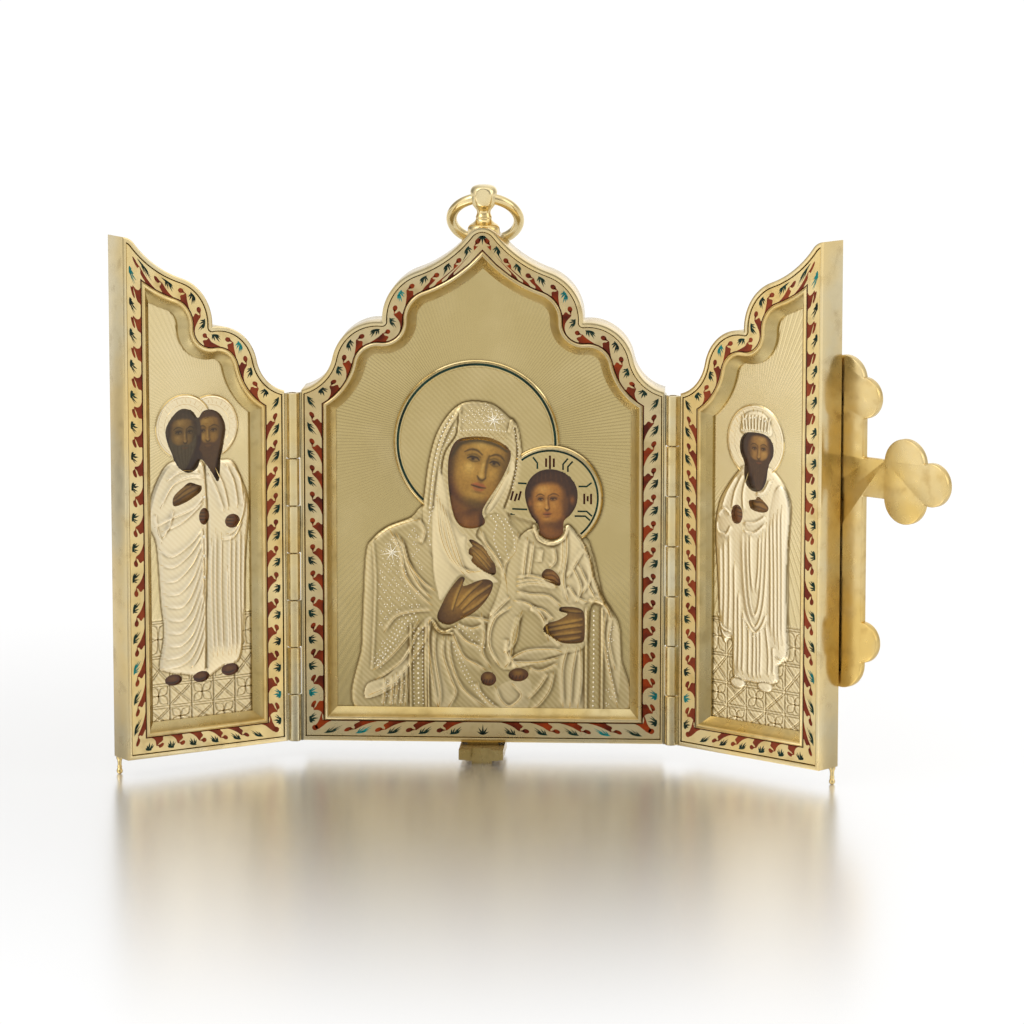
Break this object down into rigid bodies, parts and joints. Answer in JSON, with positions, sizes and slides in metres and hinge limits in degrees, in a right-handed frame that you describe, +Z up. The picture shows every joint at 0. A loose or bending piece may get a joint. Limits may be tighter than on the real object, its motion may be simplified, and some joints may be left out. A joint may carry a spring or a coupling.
{
  "type": "triptych altarpiece",
  "caption": "Folding travelling triptych icon: ogee-topped silver-gilt cases with embossed reliefs over paintings, hinged wings, a cross, a finial and a ring.",
  "frame": {"origin": "centre line of the clasp's underside, below the front face of the centre case, where the triptych stands", "axes": "+Z up, +Y to the back of the centre panel, +X to the viewer's right as seen from the front"},
  "size_m": [0.1699, 0.0521, 0.12],
  "materials": {
    "silver_gilt": "pale gilding over silver, polished and handled, darker in the corners",
    "enamelled_gilt": "gilt silver with a leaf border of red-brown and green opaque enamel",
    "embossed_gilt": "embossed and engraved gilt silver sheet with a fine engine-turned ground",
    "painted_panel": "oil or tempera painting on a wooden board under a warm glossy varnish",
    "hinge_pin": "drawn wire, worn bright at its ends"
  },
  "bodies": {
    "centre": {"centre_case": "silver_gilt", "centre_enamel_frame": "enamelled_gilt", "centre_relief": "embossed_gilt", "centre_painting": "painted_panel", "finial": "silver_gilt", "clasp": "silver_gilt", "left_hinge_centre_leaf": "silver_gilt", "left_hinge_pin": "hinge_pin", "right_hinge_centre_leaf": "silver_gilt", "right_hinge_pin": "hinge_pin"},
    "left_wing": {"left_wing_case": "silver_gilt", "left_wing_enamel_frame": "enamelled_gilt", "left_wing_relief": "embossed_gilt", "left_wing_painting": "painted_panel", "left_wing_peg": "silver_gilt", "left_hinge_wing_leaf": "silver_gilt"},
    "right_wing": {"right_wing_case": "silver_gilt", "right_wing_enamel_frame": "enamelled_gilt", "right_wing_relief": "embossed_gilt", "right_wing_painting": "painted_panel", "right_wing_peg": "silver_gilt", "right_hinge_wing_leaf": "silver_gilt", "cross": "silver_gilt"},
    "ring": {"ring": "silver_gilt"}
  },
  "joints": [
    {"name": "left_wing_hinge", "type": "hinge", "parent": "centre", "child": "left_wing", "pos_m": [-0.03916, -0.0002, 0.04], "axis": [0, 0, 1], "range_deg": [-55.7, 144.3]},
    {"name": "right_wing_hinge", "type": "hinge", "parent": "centre", "child": "right_wing", "pos_m": [0.03916, -0.0002, 0.04], "axis": [0, 0, -1], "range_deg": [-59.3, 140.7]},
    {"name": "ring_swing", "type": "hinge", "parent": "centre", "child": "ring", "pos_m": [0, 0.005, 0.1166], "axis": [1, 0, 0], "range_deg": [0, 240]}
  ]
}
